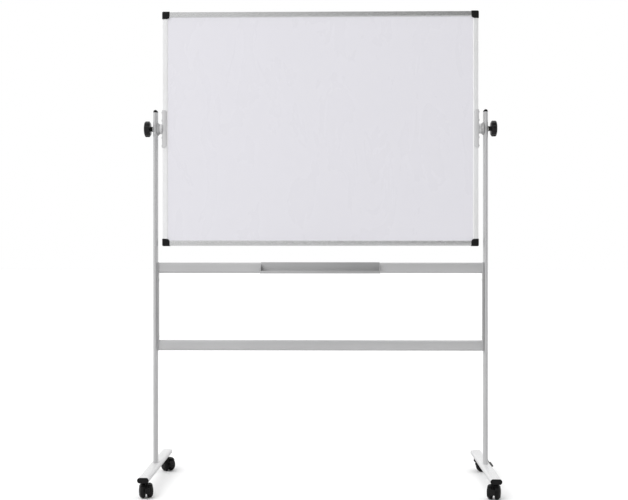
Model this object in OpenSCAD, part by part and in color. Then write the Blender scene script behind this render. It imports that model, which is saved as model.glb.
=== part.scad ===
// Rolling whiteboard: a double-sided board that revolves between the posts of a wheeled stand.
// Millimetres. +X is the right-hand side seen from the front, -Y is the front and +Z is up.
// The origin is on the floor, below the middle of the stand.
// Right-hand pieces are drawn where they stand and left-hand ones are their mirror images.

/* [Board] */
// Width of the board over its frame
board_w = 1200; // [1000:10:1400]
// Height of the board over its frame
board_h = 890; // [600:10:980]
// Height of the revolving axis above the floor
pivot_z = 1348; // [1340:1:1500]
// Face width of the frame rails
rail_w = 20; // [18:1:26]
// Depth of the frame rails, front to back
rail_d = 20; // [18:1:24]
// Thickness of the writing panel, both sheets included
panel_t = 14; // [10:1:14]
// Thickness of each writing sheet
sheet_t = 0.5; // [0.4:0.1:1]
// Side of the square corner caps
corner_w = 28; // [26:1:34]
// Radius of the corner caps' outer corner
corner_r = 5; // [2:1:8]

/* [Stand] */
// Width of a post, side to side
post_w = 16; // [14:1:20]
// Depth of a post, front to back
post_d = 32; // [28:1:40]
// Height of the top of the post tubes above the floor
post_top_z = 1411; // [1400:1:1600]
// Clear gap between the board's frame and a post
side_gap = 20; // [18:1:26]
// Wall of the posts and crossbars
tube_wall = 1.5; // [1:0.1:2.5]
// Length of a foot over its end caps
foot_len = 560; // [500:10:700]
// Width of a foot tube
foot_w = 42; // [36:1:50]
// Height of a foot tube
foot_h = 20; // [18:1:24]
// Height of the underside of the feet above the floor
foot_z = 55; // [55:1:60]
// Height of a crossbar
bar_h = 40; // [34:1:50]
// Depth of a crossbar, front to back
bar_d = 18; // [16:1:24]
// Height of the middle of the upper crossbar above the floor
upper_bar_z = 819; // [780:1:830]
// Distance between the middles of the two crossbars
bar_pitch = 295; // [200:1:400]

/* [Tray] */
// Width of the pen tray
tray_w = 450; // [300:10:600]
// Depth of the pen tray's floor, front to back
tray_d = 58; // [40:1:70]
// Height of the tray's front lip
tray_lip = 10; // [6:1:16]
// Thickness of the tray's sheet metal
tray_t = 1.2; // [1:0.1:2]

/* [Clamps] */
// Diameter of a clamping knob
knob_d = 60; // [50:1:70]
// Thickness of a knob's head
knob_t = 25; // [20:1:30]
// Length of a knob's neck
knob_neck = 9; // [6:1:14]
// Diameter of the pivot studs
stud_d = 8; // [6:1:10]

/* [Casters] */
// Diameter of a caster wheel
wheel_d = 50; // [46:1:50]
// Width of a twin wheel pair
wheels_w = 50; // [44:1:54]
// Distance from a caster's stem back to its axle
trail = 24; // [20:1:26]
// Distance from a foot's middle to a caster's stem
stem_y = 236; // [200:1:240]
// Swivel of the front left caster at rest
swivel_front_left = 20; // [-180:1:180]
// Swivel of the front right caster at rest
swivel_front_right = -15; // [-180:1:180]
// Swivel of the rear left caster at rest
swivel_rear_left = 35; // [-180:1:180]
// Swivel of the rear right caster at rest
swivel_rear_right = 62; // [-180:1:180]

/* [Hidden] */
$fn = 96;

// Running clearance on a radius, and the gap left between pieces that only lie near each other
run_gap = 0.05;
near_gap = 0.3;

post_in_x = board_w / 2 + side_gap;
post_x = post_in_x + post_w / 2;
post_out_x = post_in_x + post_w;
foot_top_z = foot_z + foot_h;
post_cap_h = 10;
foot_cap_t = 3;
foot_wall = 2;
foot_tube_len = foot_len - 2 * foot_cap_t;

panel_w = board_w - rail_w;
panel_h = board_h - rail_w;
corner_proud = 1.5;
corner_d = rail_d + 5;

plate_t = 3;
lower_bar_z = upper_bar_z - bar_pitch;
plate_screw_zs = [upper_bar_z - 45, lower_bar_z + 34];

bracket_h = 144;
bracket_t = 2.5;
bracket_flange = 16;
bracket_screw_zs = [-64, -33, 33, 64];
boss_r = 19;
disc_r = 24.5;
disc_t = 8;
stud_r = stud_d / 2;

washer_t = 2;
knob_x = post_out_x + washer_t;
knob_bore = knob_neck + knob_t - 9;

wheel_r = wheel_d / 2;
wheel_in_x = 4.9;
wheel_out_x = wheels_w / 2;
axle_r = 3;
fender_r = wheel_r + 1.4;
hood_r = fender_r + 2.4;
web_w = 8.4;
stem_r = 5;
stem_top_z = foot_z + 13;
pedal_pin_angle = 140;
pedal_pin_radius = wheel_r - 5;
pedal_pin_y = -trail + pedal_pin_radius * cos(pedal_pin_angle);
pedal_pin_z = wheel_r + pedal_pin_radius * sin(pedal_pin_angle);
pedal_pin_r = 1.5;
pedal_arm_w = 4;

// Each caster: its name, the side and end of the stand that it is at, and its swivel at rest
CASTERS = [
    ["front_left", -1, -1, swivel_front_left],
    ["front_right", 1, -1, swivel_front_right],
    ["rear_left", -1, 1, swivel_rear_left],
    ["rear_right", 1, 1, swivel_rear_right],
];
CASTER_PARTS = ["caster_hood", "caster_axle", "caster_wheel_a", "caster_wheel_b", "caster_pedal"];
SIDES = [["left", -1], ["right", 1]];
SIDE_PARTS = [
    "frame_rail", "pivot_bracket", "pivot_stud", "post", "post_cap", "friction_disc", "foot",
    "crossbar_plate", "knob", "knob_washer",
];
CORNERS = [["top_left", -1, 1], ["top_right", 1, 1], ["bottom_left", -1, -1], ["bottom_right", 1, -1]];

// ---- Shared shapes ----

// Puts a right-hand piece on the given side
module on_side(side) {
    mirror([side < 0 ? 1 : 0, 0, 0]) children();
}

// Lays a piece drawn along +Z along +X, with its +Y still pointing to +Y
module along_x() {
    rotate([0, 90, 0]) children();
}

// Flat-sided oval, its long way along Y
module oval(w, d) {
    square([w, d - w], center = true);
    for (s = [-1, 1]) translate([0, s * (d - w) / 2]) circle(d = w);
}

// Rectangle with round corners
module round_rect(w, h, r) {
    square([w - 2 * r, h], center = true);
    square([w, h - 2 * r], center = true);
    for (x = [-1, 1], y = [-1, 1]) translate([x * (w / 2 - r), y * (h / 2 - r)]) circle(r);
}

// Length of flat-oval tube along Z, from z = 0
module oval_tube(w, d, wall, length) {
    linear_extrude(length) difference() {
        oval(w, d);
        oval(w - 2 * wall, d - 2 * wall);
    }
}

// Pan-head screw pointing to +X with its head's underside at x = 0
module pan_screw(head_r, head_h, shank_r, length) {
    along_x() {
        cylinder(r = shank_r, h = length);
        rotate([180, 0, 0]) {
            cylinder(r = head_r, h = head_h * 0.4);
            translate([0, 0, head_h * 0.4]) cylinder(r1 = head_r, r2 = head_r * 0.7, h = head_h * 0.6);
        }
    }
}

// ---- Board ----

// Writing sheet, face = -1 for the front and 1 for the rear
module writing_sheet(face) {
    color("white") translate([0, face * (panel_t - sheet_t) / 2, pivot_z])
        cube([panel_w, sheet_t, panel_h], center = true);
}

module board_core() {
    color("tan") translate([0, 0, pivot_z])
        cube([panel_w, panel_t - 2 * sheet_t, panel_h], center = true);
}

// Section of a frame rail: its outer edge is on x = 0 and the grooved inner edge, with its sloped
// lips, at x = rail_w
module rail_section() {
    corner = 2;
    wall = 1.6;
    lip = (rail_d - panel_t) / 2;
    groove_x = rail_w / 2 - 0.5;
    difference() {
        union() {
            polygon([
                [0, corner - rail_d / 2], [corner, -rail_d / 2], [rail_w - lip, -rail_d / 2],
                [rail_w, -panel_t / 2 - 0.6], [rail_w, panel_t / 2 + 0.6], [rail_w - lip, rail_d / 2],
                [corner, rail_d / 2], [0, rail_d / 2 - corner],
            ]);
            for (s = [-1, 1]) translate([corner, s * (rail_d / 2 - corner)]) circle(corner);
        }
        translate([groove_x, -panel_t / 2]) square([rail_w, panel_t]);
        translate([wall, wall - rail_d / 2]) square([groove_x - 2 * wall, rail_d - 2 * wall]);
    }
}

// Length of frame rail along Z, grooved side towards -X, outer edge on x = 0
module rail(length) {
    translate([0, 0, -length / 2]) linear_extrude(length) mirror([1, 0]) rail_section();
}

// Side rails run the full height and are drilled for the brackets' screws
module frame_rail(side) {
    color("silver") on_side(side) translate([board_w / 2, 0, pivot_z]) difference() {
        rail(board_h);
        for (z = bracket_screw_zs) translate([-5, 0, z]) along_x() cylinder(r = 2, h = 10);
    }
}

// Top (end = 1) and bottom (end = -1) rails lie between the side rails
module frame_rail_across(end) {
    color("silver") translate([0, 0, pivot_z + end * board_h / 2])
        rotate([0, -end * 90, 0]) rail(board_w - 2 * rail_w);
}

// Outline of a corner cap seen from the front, its outer corner at the origin and the rest at -X and -Z
module corner_outline() {
    inner_r = 12;
    far = -corner_w;
    polygon([[-corner_r, 0], [far, 0], [far, far + inner_r], [far + inner_r, far], [0, far], [0, -corner_r],
        [-corner_r, -corner_r]]);
    translate([-corner_r, -corner_r]) circle(corner_r);
    translate([far + inner_r, far + inner_r]) circle(inner_r);
}

// Corner cap hollowed for the two rails that meet in it and for the writing panel
module corner_cap(side, end) {
    color([0.07, 0.07, 0.08]) on_side(side) translate([0, 0, pivot_z]) mirror([0, 0, end < 0 ? 1 : 0])
        difference() {
            translate([board_w / 2 + corner_proud, corner_d / 2, board_h / 2 + corner_proud])
                rotate([90, 0, 0]) linear_extrude(corner_d) corner_outline();
            translate([board_w / 2 - rail_w, -rail_d / 2, 0]) cube([rail_w, rail_d, board_h / 2]);
            translate([0, -rail_d / 2, board_h / 2 - rail_w]) cube([board_w / 2, rail_d, rail_w]);
            translate([0, -panel_t / 2, 0]) cube([panel_w / 2, panel_t, panel_h / 2]);
        }
}

// Bracket seen from the front: square towards the post and rounded towards the board
module bracket_outline() {
    r = 12;
    reach = bracket_flange + bracket_t;
    translate([r - reach, -bracket_h / 2]) square([reach - r, bracket_h]);
    translate([-reach, r - bracket_h / 2]) square([reach, bracket_h - 2 * r]);
    intersection() {
        for (s = [-1, 1]) translate([r - reach, s * (bracket_h / 2 - r)]) circle(r);
        translate([-reach, -bracket_h / 2]) square([reach, bracket_h]);
    }
}

// Channel folded round the side rail, with the pivot boss on its web
module pivot_bracket(side) {
    web_x = board_w / 2 + bracket_t;
    depth = rail_d + 2 * bracket_t;
    color("silver") on_side(side) translate([0, 0, pivot_z]) difference() {
        union() {
            translate([web_x, depth / 2, 0]) rotate([90, 0, 0]) linear_extrude(depth) bracket_outline();
            translate([web_x - 1, 0, 0]) along_x()
                cylinder(r = boss_r, h = side_gap - disc_t - bracket_t - 0.2 + 1);
        }
        translate([board_w / 2 - 60, -rail_d / 2, -bracket_h]) cube([60, rail_d, 2 * bracket_h]);
        along_x() cylinder(r = stud_r, h = post_x);
        for (z = bracket_screw_zs) translate([0, 0, z]) along_x() cylinder(r = 2.2, h = post_x);
    }
}

// Eight screws that hold the brackets to the side rails
module bracket_screws() {
    color("gray") for (s = SIDES, z = bracket_screw_zs)
        on_side(s[1]) translate([board_w / 2 + bracket_t, 0, pivot_z + z])
            mirror([1, 0, 0]) pan_screw(4.5, 2.6, 1.9, bracket_t + 4.5);
}

// Pivot stud: pressed into the boss, through disc and post, and into the knob
module pivot_stud(side) {
    color("gray") on_side(side) translate([board_w / 2 + 0.5, 0, pivot_z])
        along_x() cylinder(r = stud_r, h = knob_x + knob_bore - 4 - board_w / 2);
}

// ---- Stand ----

module post(side) {
    color("silver") on_side(side) difference() {
        translate([post_x, 0, foot_top_z]) oval_tube(post_w, post_d, tube_wall, post_top_z - foot_top_z);
        translate([0, 0, pivot_z]) along_x() cylinder(r = stud_r + run_gap, h = post_out_x + 1);
        for (z = plate_screw_zs) translate([0, 0, z]) along_x() cylinder(r = 2.6, h = post_x);
    }
}

// Domed cap on the top of a post, with a plug inside the tube
module post_cap(side) {
    color([0.07, 0.07, 0.08]) on_side(side) translate([post_x, 0, post_top_z]) {
        translate([0, 0, -14]) linear_extrude(14.5) oval(post_w - 2 * tube_wall, post_d - 2 * tube_wall);
        linear_extrude(3) oval(post_w, post_d);
        intersection() {
            linear_extrude(post_cap_h) oval(post_w, post_d);
            translate([0, (post_d + 2) / 2, -12 + post_cap_h]) rotate([90, 0, 0])
                cylinder(r = 12, h = post_d + 2);
            translate([-post_w / 2 - 1, 0, -22 + post_cap_h]) along_x() cylinder(r = 22, h = post_w + 2);
        }
    }
}

// Bevelled disc that the boss turns against
module friction_disc(side) {
    bevel_t = 6;
    color("gray") on_side(side) translate([post_in_x, 0, pivot_z]) mirror([1, 0, 0]) along_x()
        difference() {
            union() {
                cylinder(r = disc_r, h = disc_t - bevel_t);
                translate([0, 0, disc_t - bevel_t]) cylinder(r1 = disc_r, r2 = boss_r, h = bevel_t);
            }
            translate([0, 0, -1]) cylinder(r = stud_r + run_gap, h = disc_t + 2);
        }
}

// Foot tube, front to back, drilled for the post's bolt and the caster stems
module foot(side) {
    color("gainsboro") on_side(side) difference() {
        translate([post_x, foot_tube_len / 2, foot_z + foot_h / 2]) rotate([90, 0, 0])
            rotate(90) oval_tube(foot_h, foot_w, foot_wall, foot_tube_len);
        translate([post_x, 0, foot_z - 1]) cylinder(r = 4.2, h = foot_h + 2);
        for (y = [-stem_y, stem_y]) translate([post_x, y, foot_z - 1]) cylinder(r = 8, h = foot_h / 2);
    }
}

// Front and rear end caps of both feet, each with a plug inside the tube
module foot_caps() {
    plug = 14;
    color([0.07, 0.07, 0.08]) for (s = SIDES, end = [0, 1]) on_side(s[1]) mirror([0, end, 0])
        translate([post_x, -foot_tube_len / 2, foot_z + foot_h / 2]) rotate([90, 90, 0]) {
            linear_extrude(foot_cap_t) oval(foot_h, foot_w);
            translate([0, 0, -plug]) linear_extrude(plug + 1)
                oval(foot_h - 2 * foot_wall, foot_w - 2 * foot_wall);
        }
}

// Crossbar between the two plates, its middle at the given height
module crossbar(z) {
    half = post_in_x - plate_t;
    color("silver") translate([-half, 0, z]) rotate([90, 0, 90])
        oval_tube(bar_d, bar_h, tube_wall, 2 * half);
}

// Long plate on the inner side of a post, which both crossbars are welded to
module crossbar_plate(side) {
    top_z = upper_bar_z + bar_h / 2;
    height = bar_pitch + bar_h;
    color("darkgray") on_side(side) difference() {
        translate([post_in_x - plate_t, 0, top_z - height / 2]) rotate([90, 0, 90])
            linear_extrude(plate_t) round_rect(post_d, height, 4);
        for (z = plate_screw_zs) translate([0, 0, z]) along_x() cylinder(r = 2.6, h = post_x);
    }
}

module crossbar_screws() {
    color("gray") for (s = SIDES, z = plate_screw_zs)
        on_side(s[1]) translate([post_in_x - plate_t, 0, z]) pan_screw(5, 3, 2.5, plate_t + tube_wall + 5);
}

// Threaded plugs in the lower ends of the posts
module post_inserts() {
    color("gray") for (s = SIDES) on_side(s[1]) translate([post_x, 0, foot_top_z]) difference() {
        linear_extrude(22) oval(post_w - 2 * tube_wall, post_d - 2 * tube_wall);
        translate([0, 0, -1]) cylinder(r = 4, h = 30);
    }
}

// Bolts up through the feet into the plugs
module foot_bolts() {
    color("gray") for (s = SIDES) on_side(s[1]) translate([post_x, 0, 0]) {
        translate([0, 0, foot_z - 5]) cylinder(r = 7.5, h = 5, $fn = 6);
        translate([0, 0, foot_z - 1]) cylinder(r = 4, h = foot_h + 19);
    }
}

// Pins that the casters swivel on
module caster_stems() {
    color("gray") for (c = CASTERS) translate([c[1] * post_x, c[2] * stem_y, 0]) {
        translate([0, 0, foot_z - 20]) cylinder(r = stem_r, h = stem_top_z - foot_z + 20);
        translate([0, 0, foot_z - 1]) cylinder(r = 9, h = 1);
    }
}

// Threaded inserts in the undersides of the feet
module caster_inserts() {
    color("gray") for (c = CASTERS) translate([c[1] * post_x, c[2] * stem_y, foot_z]) difference() {
        cylinder(r = 8, h = 12);
        translate([0, 0, -1]) cylinder(r = stem_r, h = 14);
    }
}

// ---- Tray ----

// Sheet folded over the crossbar: hook, back, floor and front lip, closed at both ends
module pen_tray() {
    back_y = -bar_d / 2 - near_gap - tray_t;
    top_z = upper_bar_z + bar_h / 2 + near_gap;
    floor_z = upper_bar_z - bar_h / 2;
    front_y = back_y - tray_d;
    end_wall = [
        [back_y, floor_z], [back_y, top_z - 6], [front_y + 12, floor_z + tray_lip], [front_y, floor_z + tray_lip],
        [front_y, floor_z],
    ];
    color("gray") {
        translate([-tray_w / 2, 0, 0]) {
            translate([0, back_y, floor_z]) cube([tray_w, tray_t, top_z - floor_z + tray_t]);
            translate([0, back_y, top_z]) cube([tray_w, bar_d + 2 * (near_gap + tray_t), tray_t]);
            translate([0, bar_d / 2 + near_gap, top_z - 12]) cube([tray_w, tray_t, 12 + tray_t]);
            translate([0, front_y, floor_z]) cube([tray_w, tray_d + tray_t, tray_t]);
            translate([0, front_y, floor_z]) cube([tray_w, tray_t, tray_lip]);
        }
        for (x = [-tray_w / 2, tray_w / 2 - tray_t]) translate([x, 0, 0]) rotate([90, 0, 90])
            linear_extrude(tray_t) polygon(end_wall);
    }
}

// ---- Clamps ----

// Lobed knob with a neck, its neck's end on the washer
module knob(side) {
    lobes = 8;
    rim_r = knob_d / 2;
    color([0.07, 0.07, 0.08]) on_side(side) translate([knob_x, 0, pivot_z]) along_x() difference() {
        rotate_extrude() polygon([
            [0, 0], [10, 0], [10, knob_neck], [rim_r - 8, knob_neck], [rim_r, knob_neck + 5],
            [rim_r, knob_neck + knob_t - 7], [rim_r - 2, knob_neck + knob_t - 4],
            [rim_r * 0.5, knob_neck + knob_t - 0.8], [0, knob_neck + knob_t],
        ]);
        translate([0, 0, -1]) cylinder(r = stud_r + run_gap, h = knob_bore + 1);
        for (i = [0:lobes - 1]) rotate(360 / lobes * (i + 0.5))
            translate([rim_r + 5.5, 0, knob_neck - 1]) cylinder(r = 8, h = knob_t + 2);
    }
}

// Washer between the knob and the post
module knob_washer(side) {
    color("silver") on_side(side) translate([post_out_x, 0, pivot_z]) along_x() difference() {
        cylinder(r = 12, h = washer_t);
        translate([0, 0, -1]) cylinder(r = stud_r + run_gap, h = washer_t + 2);
    }
}

// ---- Casters ----

// Places a caster drawn with its stem on the Z axis and its axle behind it at y = -trail
module at_caster(c) {
    translate([c[1] * post_x, c[2] * stem_y, 0]) rotate(c[3]) children();
}

// Turns a shape whose axis is Z onto the axle's line
module on_axle() {
    translate([0, -trail, wheel_r]) along_x() children();
}

// Slice of the caster seen from its side, extruded across the web's width
module web_slice(width) {
    translate([-width / 2, 0, 0]) rotate([90, 0, 90]) linear_extrude(width) children();
}

// Central web, fender over both wheels and the socket for the stem
module caster_hood(c) {
    web_low = 19;
    socket_z = 34;
    socket_h = foot_z - 1 - near_gap - socket_z;
    stem_end_z = foot_z - 20;
    shoulder = wheel_out_x - 3;
    pin_boss_r = 5;
    arm_room_r = 4.3;
    arm_room_w = pedal_arm_w + 0.6;
    socket_r = 13;
    socket_mouth_r = 10;
    socket_taper_h = 6;
    color([0.07, 0.07, 0.08]) at_caster(c) difference() {
        union() {
            difference() {
                web_slice(web_w) {
                    intersection() {
                        translate([-trail, wheel_r]) circle(hood_r);
                        translate([-trail - 13, web_low]) square([2 * hood_r, 2 * hood_r]);
                    }
                    translate([pedal_pin_y, pedal_pin_z]) circle(pin_boss_r);
                }
                web_slice(arm_room_w) translate([pedal_pin_y, pedal_pin_z]) circle(arm_room_r);
                web_slice(arm_room_w) translate([pedal_pin_y - 10, pedal_pin_z - arm_room_r]) square([10, 12]);
            }
            web_slice(pedal_arm_w + 2) translate([pedal_pin_y, pedal_pin_z]) circle(pedal_pin_r);
            on_axle() rotate(100) rotate_extrude(angle = 115) polygon([
                [fender_r, -shoulder + 3], [fender_r, shoulder - 3], [fender_r - 3, shoulder],
                [fender_r - 1, shoulder + 2], [hood_r - 1, shoulder - 1], [hood_r, shoulder - 5],
                [hood_r, -shoulder + 5], [hood_r - 1, -shoulder + 1], [fender_r - 1, -shoulder - 2],
                [fender_r - 3, -shoulder],
            ]);
            difference() {
                translate([0, 0, socket_z]) {
                    cylinder(r = socket_r, h = socket_h - socket_taper_h);
                    translate([0, 0, socket_h - socket_taper_h])
                        cylinder(r1 = socket_r, r2 = socket_mouth_r, h = socket_taper_h);
                }
                for (s = [-1, 1]) translate([s * (web_w + 40) / 2, 0, 0])
                    on_axle() cylinder(r = fender_r, h = 40, center = true);
            }
        }
        translate([0, 0, stem_end_z - 0.5]) cylinder(r = stem_r + run_gap, h = 40);
        on_axle() cylinder(r = axle_r, h = 2 * wheels_w, center = true);
    }
}

module caster_axle(c) {
    color("silver") at_caster(c) on_axle() cylinder(r = axle_r, h = 2 * wheel_out_x - 8, center = true);
}

// Wheel with a rounded tread and a domed outer face, side = 1 for wheel a and -1 for wheel b
module caster_wheel(c, side) {
    color([0.07, 0.07, 0.08]) at_caster(c) on_axle() mirror([0, 0, side < 0 ? 1 : 0]) difference() {
        rotate_extrude() polygon([
            [0, wheel_in_x], [wheel_r - 1.5, wheel_in_x], [wheel_r, wheel_in_x + 1.5],
            [wheel_r, wheel_out_x - 6.5], [wheel_r - 0.8, wheel_out_x - 5], [wheel_r - 3, wheel_out_x - 3],
            [wheel_r - 10, wheel_out_x - 0.8], [0, wheel_out_x],
        ]);
        translate([0, 0, wheel_in_x - 1]) cylinder(r = axle_r + run_gap, h = wheel_out_x - wheel_in_x - 2);
    }
}

// Brake pedal: an arm on a pin in the hood and a sloping pad behind the wheels
module caster_pedal(c) {
    pad_w = 18;
    arm_r = 3.5;
    arm_half_h = 3.3;
    pad_top = [-trail - 27.5, wheel_r + 13];
    pad_end = [-trail - 39, wheel_r - 1.5];
    color([0.07, 0.07, 0.08]) at_caster(c) difference() {
        union() {
            web_slice(pedal_arm_w) {
                translate([pedal_pin_y, pedal_pin_z]) circle(arm_r);
                polygon([[pedal_pin_y - 1, pedal_pin_z - arm_half_h], [pedal_pin_y - 1, pedal_pin_z + arm_half_h],
                    pad_top + [0, 0.6], pad_top + [-3, -5]]);
            }
            web_slice(pad_w) polygon([
                pad_top + [-1.2, 1.2], pad_top + [1.6, -1.4], pad_end + [1.6, -2], pad_end + [-0.6, -2.4],
                pad_end + [-2.2, -0.6],
            ]);
        }
        translate([-pad_w, pedal_pin_y, pedal_pin_z]) along_x() cylinder(r = pedal_pin_r + run_gap, h = 2 * pad_w);
    }
}

// ---- Which pieces are drawn ----

writing_sheet(-1);  // writing_sheet_front
writing_sheet(1);  // writing_sheet_rear
board_core();
frame_rail_across(1);  // frame_rail_top
frame_rail_across(-1);  // frame_rail_bottom
bracket_screws();
crossbar(upper_bar_z);  // crossbar_upper
crossbar(lower_bar_z);  // crossbar_lower
crossbar_screws();
foot_caps();
post_inserts();
foot_bolts();
caster_stems();
caster_inserts();
pen_tray();
for (c = CORNERS) {
    corner_cap(c[1], c[2]);
}
for (s = SIDES) {
    frame_rail(s[1]);
    pivot_bracket(s[1]);
    pivot_stud(s[1]);
    post(s[1]);
    post_cap(s[1]);
    friction_disc(s[1]);
    foot(s[1]);
    crossbar_plate(s[1]);
    knob(s[1]);
    knob_washer(s[1]);
}
for (c = CASTERS) {
    caster_hood(c);
    caster_axle(c);
    caster_wheel(c, 1);
    caster_wheel(c, -1);
    caster_pedal(c);
}
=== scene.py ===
import math

import bmesh
import bpy
from mathutils import Matrix, Vector


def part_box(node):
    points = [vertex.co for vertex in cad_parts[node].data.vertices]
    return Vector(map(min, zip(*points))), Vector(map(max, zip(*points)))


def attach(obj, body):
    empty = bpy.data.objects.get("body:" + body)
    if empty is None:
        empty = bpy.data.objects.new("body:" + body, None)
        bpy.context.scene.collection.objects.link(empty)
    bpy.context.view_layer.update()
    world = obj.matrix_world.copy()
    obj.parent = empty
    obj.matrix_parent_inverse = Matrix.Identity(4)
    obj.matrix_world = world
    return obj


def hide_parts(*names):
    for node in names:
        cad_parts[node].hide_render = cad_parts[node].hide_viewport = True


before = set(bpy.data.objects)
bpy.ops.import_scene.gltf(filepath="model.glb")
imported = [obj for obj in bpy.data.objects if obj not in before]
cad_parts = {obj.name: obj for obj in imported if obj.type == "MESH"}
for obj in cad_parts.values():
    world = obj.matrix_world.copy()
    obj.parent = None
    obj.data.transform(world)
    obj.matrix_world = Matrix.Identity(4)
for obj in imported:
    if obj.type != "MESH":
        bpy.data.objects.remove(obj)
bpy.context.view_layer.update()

# Piece shapes are drawn in millimetres and scaled to the frame's metres when they are placed.
MM = 0.001
SIDES = {"left": -1, "right": 1}
CASTERS = ("front_left", "front_right", "rear_left", "rear_right")
BRACKET_GAUGE = 2.5
BRACKET_SCREWS_Z = (-64, -33, 33, 64)
SHEET_T = 0.5


# ---- Outlines ----

def rounded(points, closed=True, steps=5):
    """An outline of (x, y) or (x, y, radius) corners, each that has a radius turned into an arc."""
    made = []
    count = len(points)
    for i, point in enumerate(points):
        radius = point[2] if len(point) > 2 else 0.0
        corner = Vector(point[:2])
        if not radius or (not closed and i in (0, count - 1)):
            made.append(tuple(corner))
            continue
        back = Vector(points[i - 1][:2]) - corner
        on = Vector(points[(i + 1) % count][:2]) - corner
        half = back.angle(on) / 2
        reach = min(radius / math.tan(half), 0.49 * back.length, 0.49 * on.length)
        back.normalize()
        on.normalize()
        centre = corner + (back + on).normalized() * (reach / math.cos(half))
        first, last = corner + back * reach - centre, corner + on * reach - centre
        turn = math.atan2(first.x * last.y - first.y * last.x, first.dot(last))
        for k in range(steps + 1):
            made.append(tuple(centre + Matrix.Rotation(turn * k / steps, 2) @ first))
    return made


def oval(width, depth, steps=12):
    """Flat-sided oval, its long way along y, anticlockwise."""
    r, flat = width / 2, (depth - width) / 2
    made = []
    for k in range(steps + 1):
        a = math.pi * k / steps
        made.append((r * math.cos(a), flat + r * math.sin(a)))
    for k in range(steps + 1):
        a = math.pi * (1 + k / steps)
        made.append((r * math.cos(a), -flat + r * math.sin(a)))
    return made


def rectangle(width, height, radius, steps=5):
    w, h = width / 2, height / 2
    return rounded([(w, -h, radius), (w, h, radius), (-w, h, radius), (-w, -h, radius)], steps=steps)


def strip(path, thickness):
    """Closed outline of a sheet of that thickness folded along an open path through its middle."""
    left, right = [], []
    for i, point in enumerate(path):
        before, after = Vector(path[max(i - 1, 0)]), Vector(path[min(i + 1, len(path) - 1)])
        along = (after - before).normalized()
        across = Vector((-along.y, along.x)) * thickness / 2
        left.append(tuple(Vector(point) + across))
        right.append(tuple(Vector(point) - across))
    return right + left[::-1]


# ---- Solids, each a bmesh in millimetres ----

def ring(bm, outline, height):
    return [bm.verts.new((x, y, height)) for x, y in outline]


def bridge(bm, lower, upper):
    """Side faces between two rings of vertices; a ring of one vertex closes like a cone."""
    count = max(len(lower), len(upper))
    for i in range(count):
        j = (i + 1) % count
        if len(lower) == 1:
            bm.faces.new((lower[0], upper[j], upper[i]))
        elif len(upper) == 1:
            bm.faces.new((lower[i], lower[j], upper[0]))
        else:
            bm.faces.new((lower[i], lower[j], upper[j], upper[i]))


def tidy(bm, distance=1e-4):
    bmesh.ops.remove_doubles(bm, verts=bm.verts, dist=distance)
    bmesh.ops.dissolve_degenerate(bm, edges=bm.edges, dist=distance)
    bmesh.ops.recalc_face_normals(bm, faces=bm.faces)
    return bm


def prism(outline, low, high):
    """The outline in x and y, extruded from one height to another."""
    bm = bmesh.new()
    lower, upper = ring(bm, outline, low), ring(bm, outline, high)
    bridge(bm, lower, upper)
    bm.faces.new(lower[::-1])
    bm.faces.new(upper)
    return tidy(bm)


def loft(rings):
    """Solid through (outline, height) rings of equal point counts, closed at both ends."""
    bm = bmesh.new()
    made = [ring(bm, outline, height) for outline, height in rings]
    for lower, upper in zip(made, made[1:]):
        bridge(bm, lower, upper)
    bm.faces.new(made[0][::-1])
    bm.faces.new(made[-1])
    return tidy(bm)


def tube(outer, inner, low, high):
    """Hollow extrusion between two outlines of equal point counts."""
    bm = bmesh.new()
    outside = [ring(bm, outer, h) for h in (low, high)]
    inside = [ring(bm, inner, h) for h in (low, high)]
    bridge(bm, outside[0], outside[1])
    bridge(bm, inside[1], inside[0])
    bridge(bm, inside[0], outside[0])
    bridge(bm, outside[1], inside[1])
    return tidy(bm)


def lathe(profile, segments=64, reach=None):
    """(radius, height) profile turned about z. reach(radius, height, angle) may change a radius."""
    bm = bmesh.new()
    rings = []
    for r, h in profile:
        if r < 1e-6:
            rings.append([bm.verts.new((0, 0, h))])
            continue
        outline = []
        for k in range(segments):
            a = 2 * math.pi * k / segments
            here = reach(r, h, a) if reach else r
            outline.append((here * math.cos(a), here * math.sin(a)))
        rings.append(ring(bm, outline, h))
    for lower, upper in zip(rings, rings[1:]):
        bridge(bm, lower, upper)
    if len(rings[0]) > 1 and len(rings[-1]) > 1:
        bridge(bm, rings[-1], rings[0])
    return tidy(bm)


def block(low, high):
    """Box between two corners."""
    return prism(
        [(low[0], low[1]), (high[0], low[1]), (high[0], high[1]), (low[0], high[1])], low[2], high[2]
    )


def moved(bm, matrix):
    bm.transform(matrix)
    if matrix.determinant() < 0:
        bmesh.ops.reverse_faces(bm, faces=bm.faces)
    return bm


def joined(*parts):
    """One bmesh that holds all of these."""
    whole = parts[0]
    for part in parts[1:]:
        mesh = bpy.data.meshes.new("part")
        part.to_mesh(mesh)
        part.free()
        whole.from_mesh(mesh)
        bpy.data.meshes.remove(mesh)
    return whole


def modified(bm, kind, others=(), **settings):
    """The bmesh after one modifier, applied."""
    made = []
    for part in (bm, *others):
        mesh = bpy.data.meshes.new("work")
        part.to_mesh(mesh)
        part.free()
        made.append(bpy.data.objects.new("work", mesh))
        bpy.context.scene.collection.objects.link(made[-1])
    modifier = made[0].modifiers.new("change", kind)
    if len(made) > 1:
        modifier.object = made[1]
    for key, value in settings.items():
        setattr(modifier, key, value)
    evaluated = made[0].evaluated_get(bpy.context.evaluated_depsgraph_get())
    result = bmesh.new()
    result.from_mesh(evaluated.to_mesh())
    evaluated.to_mesh_clear()
    for work in made:
        mesh = work.data
        bpy.data.objects.remove(work)
        bpy.data.meshes.remove(mesh)
    return result


def cut(bm, tool):
    return modified(bm, "BOOLEAN", (tool,), operation="DIFFERENCE", solver="EXACT")


def common(bm, tool):
    return modified(bm, "BOOLEAN", (tool,), operation="INTERSECT", solver="EXACT")


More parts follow.
